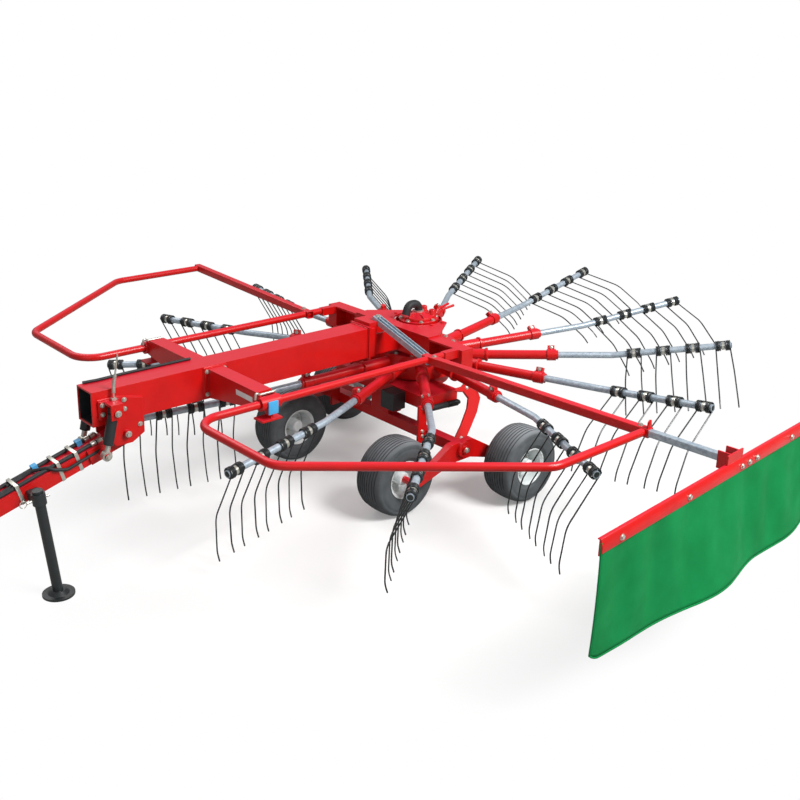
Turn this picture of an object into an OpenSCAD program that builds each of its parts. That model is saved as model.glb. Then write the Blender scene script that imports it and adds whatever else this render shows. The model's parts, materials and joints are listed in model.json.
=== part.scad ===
// Trailed single rotor hay rake, parked on its four wheels and its jack.
// Lengths in mm, +X forward, +Y to the left, +Z up, origin in the towing eye.

/* [Main beam] */
// width of the beam
beam_w = 150; // [120:1:180]
// height of the beam
beam_h = 180; // [150:1:210]
// underside of the beam over the floor
beam_z = 795; // [780:1:830]
// wall of the beam
beam_t = 8; // [5:1:12]
// rear end of the beam ahead of the rotor axis
beam_x0 = 490; // [450:5:560]
// front end of the beam ahead of the rotor axis
beam_x1 = 2240; // [2150:5:2320]
// thickness of the two front side plates
side_t = 12; // [8:1:16]

/* [Rotor] */
// height of the rotor's arm plane over the floor, on its axis
hub_z = 700; // [680:1:730]
// forward lean of the rotor axis
rotor_tilt = 2.7; // [0:0.1:4]
// radius of the hub drum
hub_r = 250; // [220:5:280]
// number of tine arms
arm_count = 13; // [9:1:15]
// bearing of the first arm, counter-clockwise from straight ahead
arm_start = -5; // [-30:1:30]
// rise of the arms towards their ends
arm_rise = 1; // [0:0.1:2]
// radius of the red inner tube of an arm
arm_r = 29; // [24:1:34]
// radius of the galvanised outer tube of an arm
tip_r = 20; // [16:1:24]
// distance from the axis to the end of the bearing tube
arm_s0 = 420; // [380:5:480]
// distance from the axis to the joint of red and galvanised tube
arm_s1 = 876; // [820:2:940]
// distance from the axis to the bend
arm_s2 = 1213; // [1150:1:1260]
// distance from the bend to the innermost double tine
tine_s0 = 133; // [100:1:180]
// distance from the bend to the outermost double tine
tine_s1 = 667; // [600:1:690]
// sideways bend of the outer tube
arm_bend = 12.5; // [0:0.5:16]
// roll of a lowered arm
roll_low = -12; // [-20:1:0]
// lift that the cam adds at the top of its track
roll_lift = 57; // [0:1:60]
// double tines on an arm
tine_count = 4; // [2:1:5]
// radius of the tine wire
wire_r = 4.5; // [3.5:0.5:6]
// outer radius of a tine coil
coil_r = 33; // [28:1:35]
// spacing of the two prongs of a double tine
prong_gap = 84; // [60:2:100]
// length of a prong above its kink
prong_l1 = 318; // [280:2:330]
// length of a prong below its kink
prong_l2 = 206; // [180:2:230]
// length of the hooked tip of a prong
prong_l3 = 50; // [30:2:60]

/* [Guards] */
// height of the guard tubes over the floor
guard_z = 912; // [900:1:940]
// distance of the guard hinge from the beam's middle
guard_y = 560; // [520:2:600]
// outer radius of the guard tube
guard_r = 23; // [20:0.5:28]
// bend radius of the guard tube
guard_bend = 130; // [90:5:180]
// outer width of the square cross bars
bar_w = 58; // [52:1:70]
// rear sweep of the cross bars
bar_sweep = 3.5; // [0:0.1:6]
// distance of the cross bars ahead of the rotor axis, at the hinge
bar_x = 452; // [440:1:480]
// length of the cross bars out from the hinge
bar_l = 1435; // [1350:5:1480]

// middle of the front guard brackets ahead of the rotor axis
bracket_x = 1546; // [1500:2:1600]
// pin radius in the rear end of a guard tube
hinge_r = 14; // [10:0.5:16]

/* [Swath curtain] */
// outer width of the sliding arm
slide_w = 46; // [40:1:48]
// length of the sliding arm inside its bar
slide_in = 560; // [400:10:640]
// distance of the curtain rail from the guard hinge
rail_y = 1866; // [1800:2:1950]
// length of the curtain rail
rail_l = 2110; // [1900:10:2200]
// height of the curtain rail
rail_h = 70; // [50:2:90]
// top of the curtain rail over the floor
rail_z = 905; // [880:1:930]
// drop of the cloth below the rail
cloth_h = 560; // [450:5:600]
// thickness of the cloth
cloth_t = 5; // [3:0.5:8]

/* [Undercarriage] */
// tyre diameter
tyre_d = 457; // [400:1:480]
// tyre width
tyre_w = 212; // [160:2:220]
// rim diameter at the bead
rim_d = 203; // [190:1:220]
// front wheels ahead of the rotor axis
wheel_x1 = 626; // [600:2:700]
// rear wheels behind the rotor axis
wheel_x2 = 72; // [40:2:110]
// front wheels, distance from the middle
wheel_y1 = 500; // [480:2:520]
// rear wheels, distance from the middle
wheel_y2 = 830; // [810:2:850]
// wheel spindle radius
spindle_r = 20; // [16:0.5:24]

// side of the square axle beam
axle_w = 64; // [50:2:80]

/* [Drawbar] */
// drawbar pivot ahead of the rotor axis
pivot_x = 2070; // [2050:2:2120]
// drawbar pivot over the floor
pivot_z = 728; // [715:1:745]
// downward slope of the drawbar
draw_slope = 16.5; // [12:0.1:20]
// width of the drawbar tube
draw_w = 100; // [80:2:110]
// height of the drawbar tube
draw_h = 80; // [70:1:90]
// length of the drawbar tube ahead of the pivot
draw_l = 900; // [860:5:1000]
// bore radius of the towing eye
eye_bore = 20; // [15:0.5:26]
// thickness of the towing eye
eye_t = 30; // [24:1:36]
// pin radius at the drawbar pivot
pin_r = 20; // [16:0.5:24]
// play between a pin and its bore
pin_play = 0.3; // [0.2:0.05:0.5]
// outer radius of the hydraulic cylinders
cyl_r = 26; // [22:1:30]
// rod radius of the hydraulic cylinders
rod_r = 14; // [10:1:18]
// distance of the hydraulic cylinders from the middle
cyl_y = 122; // [118:1:130]
// jack leg radius
jack_r = 25; // [20:1:30]
// jack distance from the middle
jack_y = 126; // [115:1:140]

/* [Hidden] */
$fn = 48;
eye_reach = draw_l + 131.311972;
eye_rise = 4.076288;
eye = [pivot_x + eye_reach * cos(draw_slope) + eye_rise * sin(draw_slope), 0,
    pivot_z - eye_reach * sin(draw_slope) + eye_rise * cos(draw_slope)];
arm_step = 360 / arm_count;
bore_r = pin_r + pin_play;
beam_top = beam_z + beam_h;
red = [0.80, 0.11, 0.10];
galv = [0.66, 0.72, 0.78];
black = [0.13, 0.14, 0.14];
zinc = [0.76, 0.76, 0.72];
col_r = 55;
rocker_x = (wheel_x1 - wheel_x2) / 2;
rocker_y = (wheel_y1 + wheel_y2) / 2;
axle_z = tyre_d / 2;
box_x0 = 150;
box_x1 = 240;
box_y = guard_y + 50;
box_z0 = hub_z + 92;
box_z1 = hub_z + 230;
in_y = beam_w / 2 - beam_t;
in_z0 = beam_z + beam_t;
in_z1 = beam_top - beam_t;
stub_z = beam_z + beam_h / 2;
plate_y = beam_w / 2 + side_t;
axle_z0 = axle_z + 102;
axle_z1 = axle_z0 + axle_w;
hose_y = [-38, 36];
hose_r = 10;
hose_z = draw_h - 75 + hose_r;
cyl_top = [2152, 876];
cyl_low = [2204, 654];
jack_foot = [2500, 0];
jack_top = [2562, 571];
jack_lean = atan2(jack_top[0] - jack_foot[0], jack_top[1] - jack_foot[1]);
guard_path = [[350, guard_y], [1975, guard_y], [1968, 1190],
    [1022, guard_y + bar_l - 33], [bar_x - 86, guard_y + bar_l - 33]];

function clamp01(t) = min(1, max(0, t));
function ease(t) = let (u = clamp01(t)) u * u * (3 - 2 * u);
function wrap(a) = (a % 360 + 360) % 360;
// the cam lifts the arms over the left rear and lowers them again on the right
function roll(a) = roll_low + roll_lift * (ease((wrap(a) - 65) / 65) - ease((wrap(a) - 195) / 70));
function arm_az(i) = arm_start + i * arm_step;
function tine_s(k) = tine_s0 + k * (tine_s1 - tine_s0) / (tine_count - 1);

module rod(p, q, r) {
    d = q - p;
    translate(p) rotate([0, acos(d[2] / norm(d)), atan2(d[1], d[0])]) cylinder(h = norm(d), r = r);
}
module wire(pts, r) {
    for (i = [0:len(pts) - 2]) rod(pts[i], pts[i + 1], r - i);
}
module block(x, y, z) translate([x[0], y[0], z[0]]) cube([x[1] - x[0], y[1] - y[0], z[1] - z[0]]);
module mirror_y() mirror([0, 1, 0]) children();
module both() { children(); mirror([0, 1, 0]) children(); }
module along_y(h, r) rotate([-90, 0, 0]) cylinder(h = h, r = r);
module along_x(h, r) rotate([0, 90, 0]) cylinder(h = h, r = r);

// flat run of round tube through plan points, with true bends
module bent_tube(pts, r, br) {
    $fn = 28;
    n = len(pts);
    u = [for (i = [0:n - 2]) (pts[i + 1] - pts[i]) / norm(pts[i + 1] - pts[i])];
    a = [for (i = [0:n - 3]) let (c = u[i][0] * u[i + 1][1] - u[i][1] * u[i + 1][0])
        sign(c) * acos(u[i] * u[i + 1])];
    cut = [for (i = [0:n - 1]) (i == 0 || i == n - 1) ? 0 : br * tan(abs(a[i - 1]) / 2)];
    for (i = [0:n - 2]) let (p = pts[i] + u[i] * cut[i], q = pts[i + 1] - u[i] * cut[i + 1])
        rod([p[0], p[1], 0], [q[0], q[1], 0], r);
    for (i = [1:n - 2]) let (s = sign(a[i - 1]), p = pts[i] - u[i - 1] * cut[i],
        c = p + br * s * [-u[i - 1][1], u[i - 1][0]], w = atan2(p[1] - c[1], p[0] - c[0]))
        translate([c[0], c[1], 0]) rotate([0, 0, s > 0 ? w : w + a[i - 1]])
            rotate_extrude(angle = abs(a[i - 1])) translate([br, 0]) circle(r = r);
}

module in_machine() translate(-eye) children();
module in_rotor() in_machine() translate([0, 0, hub_z]) rotate([0, rotor_tilt, 0]) children();
module in_arm(i) in_rotor() rotate([0, 0, arm_az(i)]) rotate([0, -arm_rise, 0])
    rotate([-roll(arm_az(i)), 0, 0]) children();
module in_tip(i) in_arm(i) translate([arm_s2, 0, 0]) rotate([0, 0, -arm_bend]) children();
module in_bar() translate([bar_x, guard_y, guard_z]) rotate([0, 0, bar_sweep]) children();
module in_draw() in_machine() translate([pivot_x, 0, pivot_z]) rotate([0, draw_slope, 0]) children();

// fixed frame
module main_beam() color(red) in_machine() difference() {
    block([beam_x0, beam_x1], [-beam_w / 2, beam_w / 2], [beam_z, beam_top]);
    block([beam_x0 + 20, beam_x1 + 1], [-beam_w / 2 + beam_t, beam_w / 2 - beam_t],
        [beam_z + beam_t, beam_top - beam_t]);
}
module front_plates() color(red) in_machine() {
    pivot_pin();
    both() difference() {
        union() {
            translate([0, plate_y, 0]) rotate([90, 0, 0]) linear_extrude(side_t) polygon([
                [pivot_x - 98, beam_z + 100], [pivot_x - 98, pivot_z - 16], [pivot_x - 30, pivot_z - 56],
                [pivot_x + 60, pivot_z - 56], [pivot_x + 80, pivot_z - 28], [pivot_x + 80, beam_z + 5],
                [cyl_top[0] + 60, beam_z + 35], [cyl_top[0] + 60, cyl_top[1] + 50],
                [pivot_x + 40, cyl_top[1] + 50]]);
            block([cyl_top[0] - 62, cyl_top[0] + 54],
                [plate_y, plate_y + 4], [cyl_top[1] - 44, cyl_top[1] + 46]);
            block([cyl_top[0] - 34, cyl_top[0] + 32],
                [plate_y, cyl_y + 40], [cyl_top[1] + 34, cyl_top[1] + 46]);
            block([cyl_top[0] - 34, cyl_top[0] + 32],
                [cyl_y + 32, cyl_y + 40], [cyl_top[1] - 34, cyl_top[1] + 46]);
        }
        translate([pivot_x, 0, pivot_z]) along_y(200, pin_r);
    }
    both() translate([cyl_top[0], plate_y, cyl_top[1]]) along_y(cyl_y + 48 - plate_y, 14);
}
module head_frame() color(red) in_machine() difference() {
    union() {
        block([beam_x0 - 16, beam_x0], [-88, 88], [beam_z - 8, beam_top + 10]);
        both() block([box_x1, beam_x0 - 16], [58, 70], [beam_z + 6, box_z1]);
        both() block([beam_x0 - 72, beam_x0 - 16], [58, 70], [box_z1, beam_top]);
        both() block([beam_x0 - 46, beam_x0 - 16], [70, 88], [beam_z + 6, beam_top]);
        block([box_x1, beam_x0 - 16], [-58, 58], [beam_z + 6, beam_z + 18]);
        block([356, beam_x0 - 16], [-70, 70], [beam_top, brace_a[2] + 8]);
    }
    brace_in() block([-brace_w, brace_w], [-1, brace_l], [0, 40]);
}
module cross_box() color(red) in_machine() difference() {
    union() {
        block([box_x0, box_x1], [-box_y, box_y], [box_z0, box_z1]);
        translate([0, 0, box_z1]) linear_extrude(10) polygon([[box_x1, -330], [box_x1, 330], [box_x0, 330],
            [-70, 168], [-70, -168], [box_x0, -330]]);
        both() block([box_x1, 344], [guard_y - 20, guard_y + 20], [guard_z - 30, box_z1]);
        both() translate([344, guard_y, guard_z]) along_x(86, hinge_r);
        block([box_x1, 400], [brace_b[1] - 44, brace_b[1] + 14], [brace_b[2] - 12, brace_b[2] + 24]);
    }
    brace_in() block([-brace_w, brace_w], [-1, brace_l + 40], [0, 60]);
    both() block([box_x0 + 8, box_x1 + 1], [340, guard_y - 30], [box_z0 + 14, box_z1 - 12]);
    in_gear() cylinder(h = 400, r = 150);
}
module in_gear() translate([0, 0, hub_z]) rotate([0, rotor_tilt, 0]) children();
module gearbox() color(red) in_rotor() {
    translate([0, 0, 78]) cylinder(h = 104, r = 150);
    translate([0, 0, 182]) cylinder(h = 64, r = 108);
    for (k = [0:7]) rotate([0, 0, 45 * k + 10]) block([100, 140], [-7, 7], [182, 226]);
    for (k = [0:7]) rotate([0, 0, 45 * k + 32]) translate([132, 0, 182]) cylinder(h = 14, r = 13);
    translate([0, 0, 226]) cylinder(h = 20, r = 124);
    translate([0, 0, 246]) cylinder(h = 22, r1 = 96, r2 = 58);
}
module filler_elbow() color(black) in_rotor() translate([0, 0, 268]) {
    cylinder(h = 62, r = 28);
    rod([0, 0, 40], [80, 0, 66], 26);
    rod([66, 0, 70], [104, 0, 24], 24);
}
module hitch_hook() color(red) in_rotor() translate([-100, 54, 246]) {
    block([-16, 8], [-16, 16], [0, 14]);
    both() wire([[-6, 9, 10], [-36, 14, 36], [-130, 24, 46]], 9);
}
module guard_brackets() color(red) in_machine() both() difference() {
    union() {
        for (x = [bracket_x - 46, bracket_x + 36]) translate([x, 0, 0]) rotate([90, 0, 90]) linear_extrude(10)
            polygon([[beam_w / 2, beam_z + 6], [beam_w / 2, beam_top - 12], [guard_y - 10, beam_top - 24],
                [guard_y - 10, guard_z - 30], [guard_y - 90, guard_z - 46]]);
        block([bracket_x - 46, bracket_x + 46], [beam_w / 2, guard_y - 40], [beam_top - 24, beam_top - 12]);
        block([bracket_x - 68, bracket_x + 68], [beam_w / 2, plate_y], [beam_z + 6, beam_top - 6]);
        translate([bracket_x - 58, guard_y, guard_z]) along_x(116, guard_r + 12);
        block([bracket_x - 8, bracket_x + 4], [guard_y - 30, guard_y + 24], [guard_z - 80, guard_z - 24]);
        block([bracket_x - 58, bracket_x + 62], [guard_y - 42, guard_y + 34], [guard_z - 88, guard_z - 78]);
    }
    translate([bracket_x - 200, guard_y, guard_z]) along_x(400, guard_r + pin_play);
}
module brace_strut() color(galv) in_machine() difference() {
    brace_in() block([-brace_w, brace_w], [0, brace_l], [0, 34]);
    brace_in() block([-brace_w + 6, -4], [24, brace_l - 24], [8, 40]);
    brace_in() block([4, brace_w - 6], [24, brace_l - 24], [8, 40]);
}
brace_a = [384, 14, beam_top + 22];
brace_b = [380, 500, 848];
brace_w = 28;
brace_l = norm(brace_b - brace_a);
module brace_in() translate(brace_a) rotate([0, 0, atan2(brace_b[1] - brace_a[1], brace_b[0] - brace_a[0]) - 90])
    rotate([-asin((brace_a[2] - brace_b[2]) / brace_l), 0, 0]) children();
module rotor_column() color(black) in_rotor() translate([0, 0, -150]) cylinder(h = 228, r = col_r);
module tower() color(red) in_machine() difference() {
    union() {
        in_gear() translate([0, 0, -150]) cylinder(h = 54, r = 190);
        difference() {
            block([60, 330], [-414, 414], [526, 602]);
            block([72, 318], [-402, 402], [500, 590]);
        }
        block([-70, 210], [-150, 150], [470, 560]);
        block([210, rocker_x + 40], [-80, 80], [axle_z1, 526]);
        both() block([rocker_x + axle_w / 2, rocker_x + axle_w / 2 + 66], [400, 414], [axle_z0 - 8, 560]);
        both() translate([-21, 370, 641]) rotate([34.5, 0, 0]) translate([0, 14, 0]) rotate([90, 0, 0])
            linear_extrude(14) polygon([[40, -50], [-20, -22], [-72, -70], [-70, -150], [0, -228], [112, -318],
                [214, -396], [rocker_x - axle_w / 2 + 21, -376], [rocker_x - axle_w / 2 + 21, -350],
                [160, -272], [62, -186], [22, -130], [40, -84], [100, -70], [100, -50]]);
    }
    in_gear() translate([0, 0, -150]) cylinder(h = 300, r = col_r);
}
module height_rams() color(black) in_machine() both() {
    rod([rocker_x + 60, 433, 540], [60, 433, 524], 13);
    rod([rocker_x + 30, 433, 538.5], [rocker_x - 110, 433, 531.3], 19);
}
module cam_box() color(black) in_machine() block([330, 426], [130, 244], [490, 596]);
module axle_beam() color(red) in_machine()
    block([rocker_x - axle_w / 2, rocker_x + axle_w / 2], [-rocker_y + 22, rocker_y - 22], [axle_z0, axle_z1]);
module rockers() color(red) in_machine() both() {
    translate([0, rocker_y + 22, 0]) rotate([90, 0, 0]) linear_extrude(44) polygon([
        [wheel_x1 + 44, axle_z - 34], [wheel_x1 + 44, axle_z + 28], [wheel_x1 - 40, axle_z + 44],
        [rocker_x + 86, axle_z1 + 10], [rocker_x - 86, axle_z1 + 10], [-wheel_x2 + 40, axle_z + 44],
        [-wheel_x2 - 44, axle_z + 28], [-wheel_x2 - 44, axle_z - 34], [rocker_x - 70, axle_z + 62],
        [rocker_x + 70, axle_z + 62]]);
    translate([rocker_x, rocker_y + 22, axle_z0 + 32]) along_y(22, 46);
    translate([rocker_x, rocker_y + 44, axle_z0 + 32]) along_y(12, 24);
    translate([wheel_x1, wheel_y1 - 60, axle_z]) along_y(rocker_y - 22 - wheel_y1 + 60, spindle_r);
    translate([-wheel_x2, rocker_y + 22, axle_z]) along_y(wheel_y2 + 60 - rocker_y - 22, spindle_r);
}
module drive_stub() color(zinc) in_machine() {
    block([beam_x1 - 224, beam_x1 - 210], [-in_y, in_y], [in_z0, in_z1]);
    translate([beam_x1 - 210, 0, stub_z]) along_x(26, 32);
    translate([beam_x1 - 184, 0, stub_z]) along_x(110, 17.45);
}
module mouth_liner() color(black) in_machine() difference() {
    block([beam_x1 - 190, beam_x1 - 5], [-in_y, in_y], [in_z0, in_z1]);
    block([beam_x1 - 184, beam_x1], [-in_y + 4, in_y - 4], [in_z0 + 4, in_z1 - 4]);
    translate([beam_x1 - 200, 0, stub_z]) along_x(100, 32 + pin_play);
}
module beam_hose() color(black) in_machine() {
    rod([beam_x1 - 30, -beam_w / 2 + 10, beam_top + 9], [bracket_x + 60, -beam_w / 2 + 10, beam_top + 9], 9);
}
module valve_lever() color(zinc) in_machine() translate([cyl_top[0] - 16, plate_y + 11, cyl_top[1] + 46]) {
    block([-14, 14], [-11, 11], [0, 12]);
    translate([0, 0, 5]) cylinder(h = 225, r = 6);
}

// rotor
module rotor_hub() color(red) difference() {
    union() {
        in_rotor() translate([0, 0, -78]) cylinder(h = 148, r = hub_r);
        for (i = [0:arm_count - 1])
            in_arm(i) translate([hub_r - 30, 0, 0]) along_x(arm_s0 - hub_r + 30, arm_r + 8);
    }
    in_rotor() translate([0, 0, -100]) cylinder(h = 200, r = col_r + pin_play);
}
module arm_inner() color(red) for (i = [0:arm_count - 1]) in_arm(i)
    translate([arm_s0, 0, 0]) along_x(arm_s1 - arm_s0, arm_r);
module arm_outer() color(galv) for (i = [0:arm_count - 1]) union() {
    in_arm(i) translate([arm_s1, 0, 0]) along_x(arm_s2 - arm_s1 + 3, tip_r + 1.5);
    in_tip(i) translate([-2, 0, 0]) along_x(tine_s1 + prong_gap / 2 + 26, tip_r);
}
module arm_clamps() color(red) for (i = [0:arm_count - 1]) in_arm(i) difference() {
    union() {
        translate([arm_s1 - 70, 0, 0]) along_x(56, arm_r + 7);
        block([arm_s1 - 64, arm_s1 - 22], [-14, 14], [arm_r, arm_r + 30]);
    }
    translate([arm_s1 - 80, 0, 0]) along_x(80, arm_r);
}
module double_tine() difference() {
    union() {
        translate([-prong_gap / 2 - 18, 0, 0]) along_x(prong_gap + 36, coil_r);
        for (s = [-1, 1]) translate([s * prong_gap / 2, 0, 0]) prong();
    }
    translate([-100, 0, 0]) along_x(200, tip_r);
}
function fall(p, l, a) = p + l * [-sin(a), -cos(a)];
prong_a = [26, 2, -14];
prong_p0 = [coil_r - 2 * wire_r, 0];
prong_p1 = fall(prong_p0, prong_l1, prong_a[0]);
prong_p2 = fall(prong_p1, prong_l2, prong_a[1]);
prong_p3 = fall(prong_p2, prong_l3, prong_a[2]);
function across(a) = wire_r * [cos(a), -sin(a)];
module prong() translate([-wire_r, 0, 0]) rotate([90, 0, 90]) linear_extrude(2 * wire_r) polygon([
    prong_p0 + across(26), prong_p1 + across(14), prong_p2 + across(-6), prong_p3 + across(-14),
    prong_p3 - across(-14), prong_p2 - across(-6), prong_p1 - across(14), prong_p0 - across(26)]);
module tines() color(black) for (i = [0:arm_count - 1]) in_tip(i) for (k = [0:tine_count - 1])
    translate([tine_s(k), 0, 0]) double_tine();

// wheels
module tyre(x, y) color(black) in_machine() translate([x, y, axle_z]) rotate([90, 0, 0])
    rotate_extrude($fn = 96) polygon(concat([[rim_d / 2, -tyre_w * 0.36], [rim_d / 2 + 40, -tyre_w * 0.47],
        [tyre_d / 2 - 62, -tyre_w / 2],
        [tyre_d / 2 - 28, -tyre_w * 0.47], [tyre_d / 2 - 12, -tyre_w * 0.40], [tyre_d / 2 - 4, -tyre_w * 0.33]],
        [for (c = [-0.25, -0.09, 0.09, 0.25]) for (e = [[0, -7], [-9, -4], [-9, 4], [0, 7]])
            [tyre_d / 2 - 48 * c * c + e[0], tyre_w * c + e[1]]],
        [[tyre_d / 2 - 4, tyre_w * 0.33], [tyre_d / 2 - 12, tyre_w * 0.40], [tyre_d / 2 - 28, tyre_w * 0.47],
        [tyre_d / 2 - 62, tyre_w / 2], [rim_d / 2 + 40, tyre_w * 0.47], [rim_d / 2, tyre_w * 0.36]]));
// s is +1 where the spindle comes in from the left
module rim(x, y, s) color([0.86, 0.88, 0.88]) in_machine() translate([x, y, axle_z]) scale([1, s, 1])
    rotate([-90, 0, 0]) rotate_extrude()
        polygon([[spindle_r + pin_play, 76], [38, 76], [38, 14], [rim_d / 2 - 10, 14],
        [rim_d / 2 - 10, tyre_w * 0.36], [rim_d / 2, tyre_w * 0.36], [rim_d / 2, -tyre_w * 0.36],
        [rim_d / 2 - 10, -tyre_w * 0.36], [rim_d / 2 - 10, 0], [38, 0], [38, -80], [0, -80], [0, -66],
        [spindle_r + pin_play, -66]]);
module tyre_fl() tyre(wheel_x1, wheel_y1);
module rim_fl() rim(wheel_x1, wheel_y1, 1);
module tyre_fr() tyre(wheel_x1, -wheel_y1);
module rim_fr() rim(wheel_x1, -wheel_y1, -1);
module tyre_rl() tyre(-wheel_x2, wheel_y2);
module rim_rl() rim(-wheel_x2, wheel_y2, -1);
module tyre_rr() tyre(-wheel_x2, -wheel_y2);
module rim_rr() rim(-wheel_x2, -wheel_y2, 1);

// folding guards
module bar_solid() in_bar() block([-bar_w / 2, bar_w / 2], [-guard_r - 12, bar_l], [-bar_w / 2, bar_w / 2]);
module guard_tube() difference() {
    translate([0, 0, guard_z]) bent_tube(guard_path, guard_r, guard_bend);
    translate([300, guard_y, guard_z]) along_x(150, hinge_r + pin_play);
    bar_solid();
}
module guard_bar(hollow) difference() {
    bar_solid();
    if (hollow) in_bar() block([-slide_w / 2 - 1, slide_w / 2 + 1], [bar_l - slide_in - 340, bar_l + 1],
        [-slide_w / 2 - 1, slide_w / 2 + 1]);
    translate([300, guard_y, guard_z]) along_x(150, hinge_r + pin_play);
}
module guard_left() color(red) in_machine() guard_tube();
module guard_right() color(red) in_machine() mirror_y() guard_tube();
module bar_left() color(red) in_machine() guard_bar(true);
module bar_right() color(red) in_machine() mirror_y() guard_bar(false);

// swath curtain
module slide_arm() color(galv) in_machine() in_bar()
    block([-slide_w / 2, slide_w / 2], [bar_l - slide_in, rail_y], [-slide_w / 2, slide_w / 2]);
module curtain_rail() color(red) in_machine() in_bar() {
    block([-rail_l / 2, rail_l / 2], [rail_y, rail_y + 8], [rail_z - guard_z - rail_h, rail_z - guard_z]);
    block([-70, 70], [rail_y, rail_y + 8], [rail_z - guard_z, 44]);
    both_x() block([34, 42], [rail_y - 60, rail_y], [-40, 44]);
}
module both_x() { children(); mirror([1, 0, 0]) children(); }
module curtain_cloth() color([0.14, 0.56, 0.30]) in_machine() in_bar()
    block([-rail_l / 2 - 5, rail_l / 2 + 5], [rail_y + 8, rail_y + 8 + cloth_t],
        [rail_z - guard_z - rail_h / 2 - cloth_h, rail_z - guard_z - 10]);

// drawbar
module drawbar() color(red) difference() {
    union() {
        in_draw() {
            block([-30, draw_l], [-draw_w / 2, draw_w / 2], [-75, -75 + draw_h]);
            translate([0, -beam_w / 2 + 5, 0]) along_y(beam_w - 10, 38);
            block([draw_l - 14, draw_l], [-draw_w / 2 - 12, draw_w / 2 + 12], [-87, -75 + draw_h + 12]);
            both() block([96, 210], [draw_w / 2, draw_w / 2 + 12], [-75, -75 + draw_h]);
        }
        translate([-170, -40, -eye_t / 2]) cube([130, 80, eye_t]);
        translate([0, 0, -eye_t / 2]) cylinder(h = eye_t, r = 48);
        in_machine() translate([cyl_low[0], -cyl_y - 26, cyl_low[1]]) along_y(2 * cyl_y + 52, 14);
    }
    translate([0, 0, -50]) cylinder(h = 100, r = eye_bore);
    in_draw() translate([0, -100, 0]) along_y(200, bore_r);
}
module pivot_pin() translate([pivot_x, -105, pivot_z]) along_y(210, pin_r);
module drawbar_hoses() color(black) in_draw() for (y = hose_y)
    rod([110, y, hose_z], [draw_l - 60, y, hose_z], hose_r);
module hose_clips() color([0.30, 0.66, 0.85]) in_draw() for (x = [190, 430, 690]) difference() {
    block([x, x + 28], [hose_y[0] - hose_r - 6, hose_y[0] + hose_r + 6], [draw_h - 75, hose_z + hose_r + 8]);
    translate([x - 10, hose_y[0], hose_z]) along_x(60, hose_r);
    block([x - 10, x + 50], [hose_y[0] - hose_r, hose_y[0] + hose_r], [draw_h - 80, hose_z]);
}
module jack_in() in_machine() translate([jack_foot[0], jack_y, 0]) rotate([0, jack_lean, 0]) children();
jack_h = norm(jack_top - jack_foot);
module jack_socket() color(black) difference() {
    union() {
        jack_in() translate([0, 0, jack_h - 66]) cylinder(h = 60, r = jack_r + 8);
        jack_in() block([-26, 26], [draw_w / 2 - jack_y, -20], [jack_h - 62, jack_h - 14]);
    }
    jack_in() cylinder(h = jack_h + 100, r = jack_r + pin_play);
}
module jack_leg() color(black) {
    jack_in() translate([0, 0, 14]) cylinder(h = jack_h - 6, r = jack_r);
    in_machine() translate([jack_foot[0], jack_y, 0]) cylinder(h = 10, r = 78);
    in_machine() translate([jack_foot[0], jack_y, 10]) cylinder(h = 16, r1 = 52, r2 = 32);
}
cyl_l = norm(cyl_top - cyl_low);
cyl_lean = atan2(cyl_top[0] - cyl_low[0], cyl_top[1] - cyl_low[1]);
module cyl_in() in_machine() translate([cyl_low[0], 0, cyl_low[1]]) rotate([0, cyl_lean, 0]) children();
module cylinder_barrels() color(black) both_cyl() difference() {
    union() {
        translate([0, 0, 58]) cylinder(h = cyl_l - 74, r = cyl_r);
        translate([0, -18, cyl_l]) along_y(36, 24);
    }
    translate([0, -40, cyl_l]) along_y(80, 14 + pin_play);
    translate([0, 0, 50]) cylinder(h = cyl_l - 110, r = rod_r + pin_play);
}
module cylinder_rods() color(zinc) both_cyl() difference() {
    union() {
        translate([0, 0, 20]) cylinder(h = cyl_l - 110, r = rod_r);
        translate([0, -16, 0]) along_y(32, 25);
    }
    translate([0, -40, 0]) along_y(80, 15.5);
}
module both_cyl() for (s = [-1, 1]) cyl_in() translate([0, s * cyl_y, 0]) children();

main_beam();
front_plates();
head_frame();
cross_box();
gearbox();
filler_elbow();
hitch_hook();
guard_brackets();
brace_strut();
rotor_column();
tower();
cam_box();
axle_beam();
height_rams();
rockers();
drive_stub();
mouth_liner();
beam_hose();
valve_lever();
rotor_hub();
arm_inner();
arm_outer();
arm_clamps();
tines();
tyre_fl();
rim_fl();
tyre_fr();
rim_fr();
tyre_rl();
rim_rl();
tyre_rr();
rim_rr();
guard_left();
bar_left();
guard_right();
bar_right();
slide_arm();
curtain_rail();
curtain_cloth();
drawbar();
drawbar_hoses();
hose_clips();
jack_socket();
jack_leg();
cylinder_barrels();
cylinder_rods();
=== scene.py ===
"""Looks of a trailed single rotor hay rake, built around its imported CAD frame.

Lengths are in metres in the frame's own axes: +X forward, +Y to the left, +Z up, origin in the towing eye.
"""

import json
import logging
from dataclasses import dataclass, field
from enum import Enum
from math import cos, pi, radians, sin, tan, tau

import bpy
from mathutils import Matrix, Vector

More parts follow.
